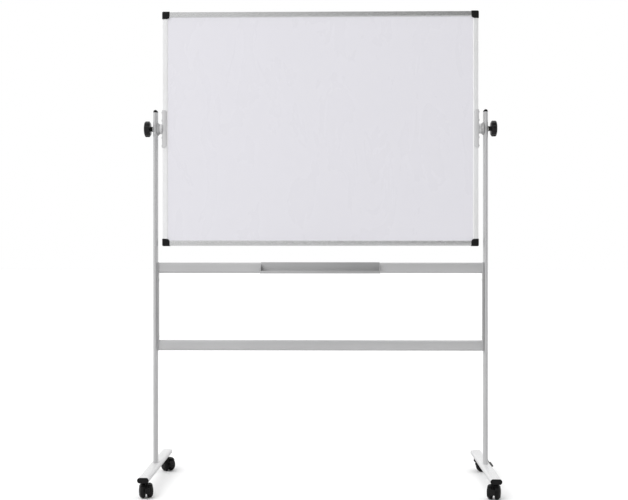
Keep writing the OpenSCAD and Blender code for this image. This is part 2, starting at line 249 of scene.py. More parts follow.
def eased(bm, width, segments=2, angle=40):
    """Every edge sharper than the angle gets a small round."""
    return modified(
        bm, "BEVEL", width=width, segments=segments, limit_method="ANGLE",
        angle_limit=math.radians(angle), harden_normals=False,
    )


def moulded(bm, grain, smooth=2):
    """Overlapping solids melted into one skin, as a moulding has it."""
    bm = modified(bm, "REMESH", mode="VOXEL", voxel_size=grain)
    for _ in range(smooth):
        bmesh.ops.smooth_vert(
            bm, verts=bm.verts, factor=0.5, use_axis_x=True, use_axis_y=True, use_axis_z=True
        )
    return bm


# ---- Placing ----

def axes(origin, z_axis, x_axis):
    """Matrix that takes a shape's own x and z to these directions, at an origin in millimetres."""
    z, x = Vector(z_axis).normalized(), Vector(x_axis).normalized()
    y = z.cross(x)
    matrix = Matrix((x, y, z)).transposed().to_4x4()
    matrix.translation = Vector(origin)
    return matrix


def box_mm(node):
    low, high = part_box(node)
    return Vector(low) / MM, Vector(high) / MM


def middle(node):
    low, high = box_mm(node)
    return (low + high) / 2


def piece(name, bm, body, material, nodes=(), sharp=32):
    """Makes the object from a bmesh in millimetres, rides it on its body and hides what it replaces."""
    bm.transform(Matrix.Scale(MM, 4))
    mesh = bpy.data.meshes.new(name)
    bm.to_mesh(mesh)
    bm.free()
    mesh.shade_smooth()
    mesh.set_sharp_from_angle(angle=math.radians(sharp))
    mesh.materials.append(material)
    made = bpy.data.objects.new(name, mesh)
    bpy.context.scene.collection.objects.link(made)
    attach(made, body)
    if nodes:
        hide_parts(*nodes)
    return made


def finish_node(node, material, bevel=0.0):
    """Gives a CAD node that stays its material and, if asked, eased edges."""
    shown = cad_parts[node]
    for index in range(max(1, len(shown.material_slots))):
        if shown.material_slots:
            shown.material_slots[index].material = material
        else:
            shown.data.materials.append(material)
    if bevel:
        ease = shown.modifiers.new("ease", "BEVEL")
        ease.width = bevel * MM
        ease.segments = 2
        ease.limit_method = "ANGLE"
        ease.angle_limit = math.radians(40)


# ---- Materials ----

class Shader:
    """A node material under construction: one Principled shader and what feeds it."""

    def __init__(self, name, **settings):
        self.material = bpy.data.materials.new(name)
        self.material.use_nodes = True
        self.nodes = self.material.node_tree.nodes
        self.links = self.material.node_tree.links
        self.shader = self.nodes["Principled BSDF"]
        for key, value in settings.items():
            self.shader.inputs[key.replace("_", " ")].default_value = value
        self.place = self.nodes.new("ShaderNodeTexCoord").outputs["Object"]
        self.height = None

    def link(self, source, target):
        self.links.new(source, target)

    def scaled(self, scale):
        """Object coordinates, in metres, multiplied along each axis."""
        mapping = self.nodes.new("ShaderNodeMapping")
        mapping.inputs["Scale"].default_value = scale
        self.link(self.place, mapping.inputs["Vector"])
        return mapping.outputs["Vector"]

    def noise(self, scale, detail=3.0, roughness=0.5, stretch=(1, 1, 1), distortion=0.0):
        texture = self.nodes.new("ShaderNodeTexNoise")
        texture.inputs["Scale"].default_value = scale
        texture.inputs["Detail"].default_value = detail
        texture.inputs["Roughness"].default_value = roughness
        texture.inputs["Distortion"].default_value = distortion
        self.link(self.scaled(stretch), texture.inputs["Vector"])
        return texture.outputs["Fac"]

    def cells(self, scale, feature="F1"):
        texture = self.nodes.new("ShaderNodeTexVoronoi")
        texture.feature = feature
        texture.inputs["Scale"].default_value = scale
        self.link(self.place, texture.inputs["Vector"])
        return texture.outputs["Distance"]

    def spread(self, value, low, high, at=(0.3, 0.7)):
        """Maps a 0 to 1 value to numbers between low and high."""
        mapped = self.nodes.new("ShaderNodeMapRange")
        mapped.inputs["From Min"].default_value = at[0]
        mapped.inputs["From Max"].default_value = at[1]
        mapped.inputs["To Min"].default_value = low
        mapped.inputs["To Max"].default_value = high
        self.link(value, mapped.inputs["Value"])
        return mapped.outputs["Result"]

    def colours(self, value, low, high, at=(0.3, 0.7)):
        """Colour that runs from low to high with a 0 to 1 value."""
        ramp = self.nodes.new("ShaderNodeValToRGB")
        for stop, position, colour in zip(ramp.color_ramp.elements, at, (low, high)):
            stop.position = position
            stop.color = (*colour, 1.0)
        self.link(value, ramp.inputs["Fac"])
        return ramp.outputs["Color"]

    def base(self, colour):
        self.link(colour, self.shader.inputs["Base Color"])
        return self

    def rough(self, value):
        self.link(value, self.shader.inputs["Roughness"])
        return self

    def relief(self, value, depth, strength=0.5):
        """Adds a height, in millimetres, to the surface's bump."""
        bump = self.nodes.new("ShaderNodeBump")
        bump.inputs["Strength"].default_value = strength
        bump.inputs["Distance"].default_value = depth * MM
        self.link(value, bump.inputs["Height"])
        if self.height:
            self.link(self.height, bump.inputs["Normal"])
        self.height = bump.outputs["Normal"]
        self.link(self.height, self.shader.inputs["Normal"])
        return self


def grey(value, tint=(1.0, 1.0, 1.0)):
    return tuple(value * t for t in tint)


def writing_lacquer():
    """Hard glossy white lacquer with faint wiped streaks and a little orange peel."""
    made = Shader("writing_lacquer", IOR=1.5, Specular_IOR_Level=0.3)
    wiped = made.noise(2.2, 4, 0.55, (1.0, 1.0, 2.6), 0.6)
    made.base(made.colours(wiped, (0.765, 0.757, 0.803), (0.769, 0.761, 0.807)))
    made.rough(made.spread(made.noise(9, 5, 0.6, (1, 1, 0.4), 0.8), 0.27, 0.28))
    made.relief(made.noise(900, 2, 0.4), 0.02, 0.15)
    return made.material


def anodised(name, along, level, metallic, shine):
    """Satin anodised aluminium, with drawing lines that run along one axis."""
    stretch = {"x": (0.02, 1, 1), "z": (1, 1, 0.02)}[along]
    made = Shader(name, Metallic=metallic)
    lines = made.noise(1500, 3, 0.6, stretch)
    cloud = made.noise(6, 3, 0.5)
    made.base(made.colours(cloud, grey(level * 0.97), grey(level * 1.02, (0.995, 1.0, 1.01))))
    made.rough(made.spread(lines, *shine))
    made.relief(lines, 0.02, 0.25)
    return made.material


def powder_coat(name, level, metallic=0.35, tint=(1.0, 1.0, 1.01), shine=(0.36, 0.5), depth=0.05):
    """Powder coat with fine metallic flake and the slight orange peel of a sprayed tube."""
    made = Shader(name, Metallic=metallic, Coat_Weight=0.15, Coat_Roughness=0.3)
    flake = made.cells(2600)
    peel = made.noise(420, 3, 0.5)
    cloud = made.noise(5, 3, 0.5)
    made.base(made.colours(cloud, grey(level * 0.97, tint), grey(level * 1.03, tint)))
    made.rough(made.spread(flake, shine[0], shine[1], (0.1, 0.6)))
    made.relief(peel, depth, 0.35)
    made.relief(flake, 0.012, 0.25)
    return made.material


def black_moulding(name, level, shine, gloss=0.2, grain=1400, depth=0.03):
    """Black moulded plastic with a fine spark-eroded grain and slightly uneven gloss."""
    made = Shader(name, IOR=1.48, Specular_IOR_Level=gloss)
    texture = made.cells(grain)
    cloud = made.noise(24, 4, 0.6)
    made.base(made.colours(cloud, grey(level * 0.8, (1, 1, 1.03)), grey(level * 1.3, (1, 1, 1.05))))
    made.rough(made.spread(cloud, shine[0], shine[1]))
    made.relief(texture, depth, 0.4)
    return made.material


def plated_steel():
    """Bright zinc plating, slightly blotchy, with turning marks."""
    made = Shader("zinc_plating", Metallic=1.0)
    blotch = made.noise(60, 4, 0.6)
    made.base(made.colours(blotch, (0.60, 0.61, 0.62), (0.72, 0.725, 0.70)))
    made.rough(made.spread(blotch, 0.28, 0.42))
    made.relief(made.noise(1800, 2, 0.5, (0.1, 1, 1)), 0.01, 0.3)
    return made.material


def cast_aluminium():
    """Die-cast aluminium with a satin blast."""
    made = Shader("cast_aluminium", Metallic=0.85)
    pits = made.cells(1700)
    made.base(made.colours(made.noise(40, 4, 0.6), grey(0.47), grey(0.56)))
    made.rough(made.spread(pits, 0.36, 0.5, (0.1, 0.6)))
    made.relief(pits, 0.02, 0.4)
    return made.material


def paper_core():
    """Kraft paper honeycomb."""
    made = Shader("paper_core", Roughness=0.9)
    cell = made.cells(110, "DISTANCE_TO_EDGE")
    made.base(made.colours(cell, (0.40, 0.29, 0.18), (0.66, 0.54, 0.38), (0.02, 0.2)))
    made.relief(cell, 1.0, 0.6)
    return made.material


def studio_floor():
    """Pale seamless paper. It looks paler than the light that it throws back onto the object."""
    made = Shader("studio_paper", Roughness=0.9, Specular_IOR_Level=0.0)
    ray = made.nodes.new("ShaderNodeLightPath").outputs["Is Camera Ray"]
    made.base(made.colours(ray, grey(0.62), grey(0.94), (0.0, 1.0)))
    made.relief(made.noise(300, 2, 0.5), 0.05, 0.1)
    return made.material


LACQUER = writing_lacquer()
# The same anodised frame in two copies: the top and bottom rails' copy is darker, which is painted shade, and
# the side rails' copy is paler, which is painted light.
RAIL_ACROSS_SHADED = anodised("anodised_across_shaded", "x", 0.68, 0.9, (0.22, 0.32))
RAIL_UP_LIT = anodised("anodised_up_lit", "z", 0.93, 0.6, (0.46, 0.60))
SILVER_COAT = powder_coat("silver_coat", 0.575, 0.62)
BRACKET_COAT = powder_coat("bracket_coat", 0.70, 0.6)
PLATE_COAT = powder_coat("plate_coat", 0.40)
TRAY_COAT = powder_coat("tray_coat", 0.44, depth=0.04)
FOOT_COAT = powder_coat("foot_coat", 0.64, 0.0, (1.0, 1.0, 1.005), (0.24, 0.34), 0.04)
BLACK_CAP = black_moulding("black_cap", 0.006, (0.42, 0.58))
KNOB_BLACK = black_moulding("knob_black", 0.005, (0.26, 0.38), 0.3, 1900, 0.015)
HOOD_BLACK = black_moulding("hood_black", 0.005, (0.30, 0.42), 0.2, 1700, 0.02)
WHEEL_BLACK = black_moulding("wheel_black", 0.005, (0.36, 0.55), 0.2, 1200, 0.025)
ZINC = plated_steel()
CAST = cast_aluminium()


# ---- Board ----

def frame_rails():
    """Grooved rails: rounded outside, with lips that slope down to the writing sheets."""
    low, high = box_mm("frame_rail_top")
    face, depth = high.z - low.z, high.y - low.y
    sheet_low, sheet_high = box_mm("board_core")
    half_panel = (sheet_high.y - sheet_low.y) / 2 + SHEET_T
    groove, lip = face / 2 - 0.5, depth / 2 - half_panel
    front = [(0, -depth / 2, 1.2), (face - lip, -depth / 2, 0.8),
             (face, -half_panel - 0.4, 0.3)]
    back = [(x, -y, r) for x, y, r in front[::-1]]
    slot = [(face, -half_panel), (groove, -half_panel), (groove, half_panel), (face, half_panel)]
    section = rounded(front + slot + back, steps=6)
    # each rail: where its outer edge's middle is, the way to the panel, its length's direction, and its
    # anodised copy, darker on the top and bottom rails as painted shade and paler on the side rails as
    # painted light
    rails = {
        "top": (Vector((0, 0, high.z)), Vector((0, 0, -1)), Vector((1, 0, 0)), RAIL_ACROSS_SHADED),
        "bottom": (Vector((0, 0, box_mm("frame_rail_bottom")[0].z)), Vector((0, 0, 1)), Vector((1, 0, 0)),
                   RAIL_ACROSS_SHADED),
        "left": (Vector((box_mm("frame_rail_left")[0].x, 0, middle("board_core").z)), Vector((1, 0, 0)),
                 Vector((0, 0, 1)), RAIL_UP_LIT),
        "right": (Vector((box_mm("frame_rail_right")[1].x, 0, middle("board_core").z)), Vector((-1, 0, 0)),
                  Vector((0, 0, 1)), RAIL_UP_LIT),
    }
    for name, (origin, inward, along, material) in rails.items():
        node = f"frame_rail_{name}"
        low, high = box_mm(node)
        half = abs((high - low).dot(along)) / 2
        shape = moved(prism(section, -half, half), axes(origin, along, inward))
        piece(f"rail_{name}", shape, "board", material, [node])


def corner_caps():
    """Black corners that wrap two rails each; their inner corner is a large round."""
    cap_radius, inner_radius = 5.0, 12.0
    panel_low, panel_high = box_mm("board_core")
    half_panel = (panel_high.y - panel_low.y) / 2 + SHEET_T
    half_board = box_mm("frame_rail_right")[1].x
    rail_depth = box_mm("frame_rail_top")[1].y
    rail_face = box_mm("frame_rail_top")[1].z - box_mm("frame_rail_top")[0].z
    for up in ("top", "bottom"):
        for side in SIDES:
            node = f"corner_cap_{up}_{side}"
            low, high = box_mm(node)
            size, depth = high.x - low.x, high.y - low.y
            sx, sz = SIDES[side], 1 if up == "top" else -1
            outline = rounded([
                (0, 0, cap_radius), (-size, 0, 0.6), (-size, -size, inner_radius), (0, -size, 0.6),
            ], steps=8)
            shell = eased(prism(outline, -depth / 2, depth / 2), 1.3, 3)
            proud = high.x - half_board if sx > 0 else -half_board - low.x
            far = -size - 5
            shell = cut(shell, block((far, -proud - rail_face, -rail_depth), (-proud, -proud, rail_depth)))
            shell = cut(shell, block((-proud - rail_face, far, -rail_depth), (-proud, -proud, rail_depth)))
            shell = cut(shell, block((far, far, -half_panel), (-proud - 1, -proud - 1, half_panel)))
            corner = Vector((high.x if sx > 0 else low.x, 0, high.z if sz > 0 else low.z))
            place = axes(corner, (0, -1, 0), (1, 0, 0)) @ Matrix.Diagonal((sx, sz, 1, 1))
            piece(f"corner_{up}_{side}", moved(shell, place), "board", BLACK_CAP, [node], 40)


def pan_head(radius, height, shank_radius, shank):
    """Pan-head screw with a cross recess, its head towards +z and its seat at z = 0."""
    profile = rounded([
        (0, -shank), (shank_radius, -shank, 0.3), (shank_radius, 0), (radius, 0, 0.2),
        (radius, height * 0.45, 0.8),
        (radius * 0.72, height, 1.2), (0, height),
    ], closed=False, steps=4)
    head = lathe(profile, 40)
    slot_long, slot_wide, slot_deep = radius * 0.95, radius * 0.2, height * 0.55
    for turn in (0, 90):
        arm = rounded([
            (slot_long / 2, -slot_wide / 2, 0.15), (slot_long / 2, slot_wide / 2, 0.15),
            (-slot_long / 2, slot_wide / 2, 0.15), (-slot_long / 2, -slot_wide / 2, 0.15),
        ], steps=2)
        recess = prism(arm, height - slot_deep, height + 1)
        head = cut(head, moved(recess, Matrix.Rotation(math.radians(turn), 4, "Z")))
    return head


def turned_to(origin, direction, spin=0.0):
    """Placement of a lathe shape whose axis points along direction."""
    x_axis = Vector((0, 0, 1)) if abs(direction[2]) < 0.5 else Vector((1, 0, 0))
    return axes(origin, direction, x_axis) @ Matrix.Rotation(spin, 4, "Z")


def copies(shape, places):
    """One bmesh with a copy of the shape at each placement."""
    made = [moved(shape.copy(), place) for place in places]
    shape.free()
    return joined(*made)


def board_screws():
    _, high = box_mm("bracket_screws")
    pivot = middle("board_core").z
    web = box_mm("frame_rail_right")[1].x + BRACKET_GAUGE
    places = []
    for sx in SIDES.values():
        for k, dz in enumerate(BRACKET_SCREWS_Z):
            places.append(turned_to((sx * web, 0, pivot + dz), (sx, 0, 0), 0.4 + 1.3 * k + sx))
    shape = copies(pan_head(4.5, high.x - web, 1.9, 7), places)
    piece("bracket_screw_heads", shape, "board", ZINC, ["bracket_screws"])


def pivot_brackets():
    """Folded channel round the side rail, and the welded boss that the stud is pressed into."""
    for side, sx in SIDES.items():
        node = f"pivot_bracket_{side}"
        low, high = box_mm(node)
        height = high.z - low.z
        gauge = BRACKET_GAUGE
        rail_low, rail_high = box_mm(f"frame_rail_{side}")
        half = rail_high.y + gauge / 2
        outer = abs(rail_high.x if sx > 0 else rail_low.x)
        tip = abs(low.x if sx > 0 else high.x)
        fold = strip(rounded([
            (tip, -half), (outer + gauge / 2, -half, 2.4), (outer + gauge / 2, half, 2.4), (tip, half),
        ], closed=False, steps=6), gauge)
        channel = prism(fold, -height / 2, height / 2)
        width = outer + gauge - tip
        face = rounded([
            (tip, -height / 2, 12), (tip + width + 2, -height / 2), (tip + width + 2, height / 2),
            (tip, height / 2, 12),
        ], steps=10)
        mask = moved(prism(face, -40, 40), Matrix.Rotation(math.pi / 2, 4, "X"))
        channel = eased(common(channel, mask), 0.45, 2)
        boss_end = abs(high.x if sx > 0 else low.x)
        seat = outer + gauge
        profile = rounded([
            (0, seat - 1), (21.2, seat - 1), (21.2, seat + 0.2, 0.6), (19.2, seat + 2.2, 1.6),
            (19, boss_end - 1.2, 0.5), (17.8, boss_end, 0.4), (0, boss_end),
        ], closed=False, steps=4)
        boss = moved(lathe(profile, 72), turned_to((0, 0, 0), (1, 0, 0)))
        place = Matrix.Translation((0, 0, (low.z + high.z) / 2)) @ Matrix.Diagonal((sx, 1, 1, 1))
        shape = moved(joined(channel, boss), place)
        piece(f"bracket_{side}", shape, "board", BRACKET_COAT, [node], 38)


# ---- Stand ----

def posts():
    for side in SIDES:
        node = f"post_{side}"
        low, high = box_mm(node)
        width, depth = high.x - low.x, high.y - low.y
        shape = tube(oval(width, depth, 16), oval(width - 3, depth - 3, 16), low.z, high.z)
        centre = (low + high) / 2
        shape = moved(shape, Matrix.Translation((centre.x, centre.y, 0)))
        piece(f"post_tube_{side}", shape, "stand", SILVER_COAT, [node])


def post_caps():
    """Domed plug: a thin flange the size of the tube and a crown that falls away to every side."""
    for side in SIDES:
        node = f"post_cap_{side}"
        low, high = box_mm(node)
        width, depth = high.x - low.x, high.y - low.y
        tube_top = box_mm(f"post_{side}")[1].z
        flange = 1.6
        rise = high.z - tube_top - flange
        rings = [(oval(width - 3, depth - 3), low.z), (oval(width - 3, depth - 3), tube_top)]
        rings += [(oval(width, depth), tube_top), (oval(width, depth), tube_top + flange)]
        for k in range(1, 9):
            a = math.pi / 2 * k / 8
            shrink = width * (1 - math.cos(a))
            crown = oval(max(width - shrink, 0.05), depth - shrink)
            rings.append((crown, tube_top + flange + rise * math.sin(a)))
        centre = (low + high) / 2
        shape = moved(loft(rings), Matrix.Translation((centre.x, centre.y, 0)))
        piece(f"cap_on_post_{side}", shape, "stand", BLACK_CAP, [node], 50)


def feet():
    for side in SIDES:
        node = f"foot_{side}"
        low, high = box_mm(node)
        width, height = high.x - low.x, high.z - low.z
        shape = tube(oval(height, width, 14), oval(height - 4, width - 4, 14), low.y, high.y)
        centre = (low + high) / 2
        shape = moved(shape, axes((centre.x, 0, centre.z), (0, 1, 0), (0, 0, 1)))
        piece(f"foot_tube_{side}", shape, "stand", FOOT_COAT, [node])


def foot_end_caps():
    """Oval end plugs with a rounded rim and a slightly sunken face."""
    _, high = box_mm("foot_caps")
    foot_low, foot_high = box_mm("foot_right")
    width, height = foot_high.x - foot_low.x, foot_high.z - foot_low.z
    reach = high.y - foot_high.y
    # how far each ring stands out from the tube's outline, and how far along it lies
    inset = ((-2.0, -12.0), (-2.0, 0.0), (0.0, 0.0), (0.0, reach - 1.6), (-0.5, reach - 0.7),
             (-1.4, reach - 0.15), (-2.4, reach), (-3.4, reach - 0.1), (-4.2, reach - 0.6),
             (-5.2, reach - 0.8))
    rings = [(oval(height + 2 * grow, width + 2 * grow, 16), along) for grow, along in inset]
    cap = loft(rings)
    centre = (foot_low + foot_high) / 2
    places = []
    for sx in SIDES.values():
        for sy in (-1, 1):
            place = axes((sx * centre.x, sy * foot_high.y, centre.z), (0, 1, 0), (0, 0, 1))
            places.append(place if sy > 0 else place @ Matrix.Rotation(math.pi, 4, "X"))
    piece("foot_end_caps", copies(cap, places), "stand", BLACK_CAP, ["foot_caps"], 50)


def weld_bead(outline, radius, pitch=2.4):
    """Rippled bead that follows an outline in the plane z = 0."""
    points = [Vector((x, y)) for x, y in outline]
    lengths = [0.0]
    for a, b in zip(points, points[1:] + points[:1]):
        lengths.append(lengths[-1] + (b - a).length)
    total = lengths[-1]
    count = int(total / (pitch / 4))
    bm = bmesh.new()
    rings = []
    leg = 0
    for k in range(count):
        along = total * k / count
        while lengths[leg + 1] < along:
            leg += 1
        a, b = points[leg % len(points)], points[(leg + 1) % len(points)]
        here = a.lerp(b, (along - lengths[leg]) / max(lengths[leg + 1] - lengths[leg], 1e-9))
        out = Vector((b.y - a.y, a.x - b.x)).normalized()
        fat = radius * (1 + 0.12 * math.sin(2 * math.pi * along / pitch) + 0.05 * math.sin(along / 7))
        loop = []
        for j in range(8):
            t = 2 * math.pi * j / 8
            spot = here + out * fat * math.cos(t)
            loop.append(bm.verts.new((spot.x, spot.y, fat * math.sin(t))))
        rings.append(loop)
    for lower, upper in zip(rings, rings[1:] + rings[:1]):
        bridge(bm, lower, upper)
    return tidy(bm)


def crossbars():
    """Flat-oval bars, each welded all round to the plate at either end."""
    for name in ("upper", "lower"):
        node = f"crossbar_{name}"
        low, high = box_mm(node)
        depth, height = high.y - low.y, high.z - low.z
        centre = (low + high) / 2
        place = axes((0, 0, centre.z), (1, 0, 0), (0, 1, 0))
        shape = moved(tube(oval(depth, height, 14), oval(depth - 3, height - 3, 14), low.x, high.x), place)
        piece(f"bar_{name}", shape, "stand", SILVER_COAT, [node])
        for side, sx in SIDES.items():
            end = axes((high.x * sx, 0, centre.z), (1, 0, 0), (0, 1, 0))
            bead = moved(weld_bead(oval(depth, height, 14), 1.3), end)
            piece(f"weld_{name}_{side}", bead, "stand", SILVER_COAT, (), 60)


def crossbar_plates():
    for side in SIDES:
        node = f"crossbar_plate_{side}"
        low, high = box_mm(node)
        depth, height, gauge = high.y - low.y, high.z - low.z, high.x - low.x
        centre = (low + high) / 2
        shape = eased(prism(rectangle(depth, height, 4), -gauge / 2, gauge / 2), 0.6, 2)
        shape = moved(shape, axes(centre, (1, 0, 0), (0, 1, 0)))
        piece(f"plate_{side}", shape, "stand", PLATE_COAT, [node])


def plate_screws():
    low, high = box_mm("crossbar_screws")
    plate = box_mm("crossbar_plate_right")[0].x
    places = []
    for sx in SIDES.values():
        for k, z in enumerate((low.z + 5, high.z - 5)):
            places.append(turned_to((sx * plate, 0, z), (-sx, 0, 0), 0.7 + 1.1 * k + sx))
    shape = copies(pan_head(5, 3, 2.5, 9), places)
    piece("plate_screw_heads", shape, "stand", ZINC, ["crossbar_screws"])


def friction_discs():
    """Bevelled disc on the post, with a fine groove near its rim."""
    for side, sx in SIDES.items():
        node = f"friction_disc_{side}"
        low, high = box_mm(node)
        thick = high.x - low.x
        profile = rounded([
            (4.05, 0), (24.5, 0, 0.3), (24.5, 2.1, 0.4), (23.4, 3.0, 0.2), (22.9, 2.9, 0.1), (22.2, 3.9, 0.2),
            (19.4, thick - 0.5, 0.5), (18.4, thick, 0.3), (4.05, thick),
        ], steps=4)
        seat = box_mm("post_right")[0].x
        shape = moved(lathe(profile, 96), turned_to((sx * seat, 0, middle(node).z), (-sx, 0, 0)))
        piece(f"disc_{side}", shape, "stand", CAST, [node])


def pen_tray():
    """One folded sheet: hook over the bar, back, floor and hemmed lip, with sloped end walls."""
    low, high = box_mm("pen_tray")
    gauge = 1.2
    half = gauge / 2
    hook_y, top_z, floor_z = high.y - half, high.z - half, low.z + half
    back_y = -hook_y
    front_y = low.y + half
    lip_z = low.z + 10 - 1.0
    path = rounded([
        (hook_y, top_z - 12), (hook_y, top_z, 2.0), (back_y, top_z, 2.0), (back_y, floor_z, 2.4),
        (front_y, floor_z, 2.4), (front_y, lip_z),
    ], closed=False, steps=6)
    sheet = prism(strip(path, gauge), low.x, high.x)
    hem = prism([(front_y + 1.15 + 1.05 * math.cos(a), lip_z - 0.2 + 1.05 * math.sin(a))
                 for a in (2 * math.pi * k / 16 for k in range(16))], low.x, high.x)
    wall = rounded([
        (back_y, floor_z), (back_y, top_z - 6, 2.0), (front_y + 14, lip_z + 0.6, 6.0),
        (front_y + 0.4, lip_z + 0.6, 1.0), (front_y + 0.4, floor_z, 2.0),
    ], steps=6)
    walls = [prism(wall[::-1], x, x + gauge) for x in (low.x, high.x - gauge)]
    place = axes((0, 0, 0), (1, 0, 0), (0, 1, 0))
    shape = moved(joined(sheet, hem, *walls), place)
    piece("tray_sheet", eased(shape, 0.25, 2), "tray", TRAY_COAT, ["pen_tray"], 38)


# ---- Clamps ----

def knobs():
    """Lobed knob: eight scallops round the rim, a dished outer face with a plug, and a waisted neck."""
    low, high = box_mm("knob_right")
    seat, length, rim = low.x, high.x - low.x, (high.z - low.z) / 2 + 0.05
    neck = 9.0
    profile = rounded([
        (0, 0), (9.8, 0, 0.5), (10.2, 1.6, 0.4), (9.0, 3.2, 0.8), (9.2, neck - 0.6, 0.8), (13, neck, 0.6),
        (rim - 7, neck + 0.2, 2.0), (rim, neck + 4.8, 3.0), (rim, length - 6.4, 2.5),
        (rim - 2.6, length - 3.4, 2.5), (19.5, length - 1.4, 1.0), (18.2, length - 2.6, 0.6),
        (11.5, length - 1.7, 0.6), (10.6, length - 0.5, 0.8), (0, length),
    ], closed=False, steps=6)
    lobes, scallop = 8, 2.5
    valley, curve = rim - scallop, scallop / math.radians(10.2) ** 2

    def scalloped(r, _, a):
        pitch = 2 * math.pi / lobes
        off = (a % pitch) - pitch / 2
        limit = valley + curve * off * off
        soft = 1.1
        if r < valley - 3 * soft:
            return r
        return -soft * math.log(math.exp(-r / soft) + math.exp(-limit / soft))

    for side, sx in SIDES.items():
        shape = lathe(profile, 192, scalloped)
        shape = moved(shape, turned_to((sx * seat, 0, middle("knob_right").z), (sx, 0, 0)))
        piece(f"lobed_knob_{side}", shape, f"knob_{side}", KNOB_BLACK, [f"knob_{side}"], 50)


# ---- Casters ----

TRAIL, WHEEL_R = 24.0, 25.0
# the stems' widest radius, which sets their node's box out from the outer stems' axes
STEM_HEAD_R = 9.0


def caster_place(name):
    """Matrix from a caster's own millimetres, stem on z and axle at y = -TRAIL, to the object's."""
    axle_low, axle_high = box_mm(f"caster_axle_{name}")
    axle = (axle_low + axle_high) / 2
    stem_low, stem_high = box_mm("caster_stems")
    x = stem_high.x - STEM_HEAD_R if "right" in name else stem_low.x + STEM_HEAD_R
    y = stem_low.y + STEM_HEAD_R if "front" in name else stem_high.y - STEM_HEAD_R
    behind = Vector((axle.x - x, axle.y - y, 0))
    turn = math.atan2(behind.x, -behind.y)
    return Matrix.Translation((x, y, 0)) @ Matrix.Rotation(turn, 4, "Z")


def sector(section, first, last, steps):
    """A closed (along axle, radius) section swept about the axle; angles in degrees above +y."""
    bm = bmesh.new()
    rings = []
    for k in range(steps + 1):
        a = math.radians(first + (last - first) * k / steps)
        loop = []
        for u, r in section:
            loop.append(bm.verts.new((u, -TRAIL + r * math.cos(a), WHEEL_R + r * math.sin(a))))
        rings.append(loop)
    for lower, upper in zip(rings, rings[1:]):
        bridge(bm, lower, upper)
    bm.faces.new(rings[0][::-1])
    bm.faces.new(rings[-1])
    return tidy(bm)


def side_slice(outline, width):
    """An outline in (y, z) extruded across the caster's middle."""
    return moved(prism(outline, -width / 2, width / 2), axes((0, 0, 0), (1, 0, 0), (0, 1, 0)))


def disc_outline(y, z, radius, steps=48):
    angles = [2 * math.pi * k / steps for k in range(steps)]
    return [(y + radius * math.cos(a), z + radius * math.sin(a)) for a in angles]


def hood_shape():
    """Fender over both wheels, central web and the domed socket for the stem, in one moulding."""
    half = [(0, 26.3), (14.5, 26.3), (17.8, 25.0), (20.4, 22.2), (21.6, 21.7), (22.5, 22.0), (21.6, 24.2),
            (19.2, 26.4), (15.4, 28.0), (8.8, 28.6), (0, 28.7)]
    section = half + [(-u, r) for u, r in half[-2:0:-1]]
    fender = sector(section, 6, 127, 40)
    web = side_slice(rounded([
        (-33, 19.5, 2), (-10, 19.5, 3), (2, 30, 8), (4.5, 40, 3), (-4, 46, 6), (-24, 52, 12), (-44, 43, 4),
        (-44.5, 35, 3), (-37, 31, 3),
    ], steps=5), 8.4)
    socket = lathe(rounded([
        (0, 33), (8, 33, 2), (14.2, 39, 4), (13.2, 47.5, 5), (10.4, 53.0, 1.0), (9.6, 53.7, 0.4), (0, 53.7),
    ], closed=False, steps=6), 56)
    for sign in (-1, 1):
        room = lathe([(0, 0), (26.5, 0), (26.5, 30), (0, 30)], 96)
        place = turned_to((sign * 4.3, -TRAIL, WHEEL_R), (sign, 0, 0))
        socket = cut(socket, moved(room, place))
    slot_box = block((-2.4, -47, 33.4), (2.4, -35.8, 50))
    return cut(joined_solid(fender, web, socket), slot_box)


def joined_solid(*parts):
    return moulded(joined(*parts), 0.75, 3)


def wheel_shape():
    """Hard wheel: crowned tread, rounded shoulder and domed disc outside, hollow with a hub inside."""
    profile = rounded([
        (0, 24.6), (4.4, 24.5, 0.2), (5.0, 23.9, 0.2), (5.8, 24.4, 0.3), (14, 23.9, 6), (17.2, 23.2, 0.4),
        (17.8, 22.5, 0.3), (18.7, 22.6, 0.4), (20.6, 20.6, 3), (23.2, 18.2, 3), (24.8, 14.6, 2.5),
        (25.0, 11.5), (24.8, 7.2, 1.2), (23.6, 5.0, 0.8), (22.0, 5.0, 0.6), (21.2, 12.5, 1.2),
        (9.0, 12.5, 1.2), (8.0, 5.0, 0.6), (3.05, 5.0), (3.05, 22.0), (0, 22.0),
    ], closed=False, steps=4)
    return lathe(profile, 96)


def pedal_shape():
    """Brake pedal: forked arm on its pin, and a ribbed pad that slopes down behind the wheels."""
    arm = side_slice(rounded([
        (-36.4, 35.4, 2.4), (-37.0, 41.2, 2.8), (-43, 41.6, 3), (-52.5, 39.4, 1), (-53.5, 34.5, 1),
        (-44, 34.4, 3),
    ], steps=5), 4.0)
    pad = side_slice(rounded([
        (-50.4, 39.4, 1.6), (-54, 39.2, 3), (-65.4, 24.2, 2.0), (-64.4, 21.0, 1.6),
        (-61.6, 21.4, 1.6), (-49.8, 36.6, 1.6),
    ], steps=5), 17.4)
    ribs = []
    for k in range(3):
        y, z = -56.6 - 2.7 * k, 35.8 - 3.6 * k
        ribs.append(side_slice(disc_outline(y, z, 0.9, 12), 13))
    return moulded(joined(arm, pad, *ribs), 0.5, 2)


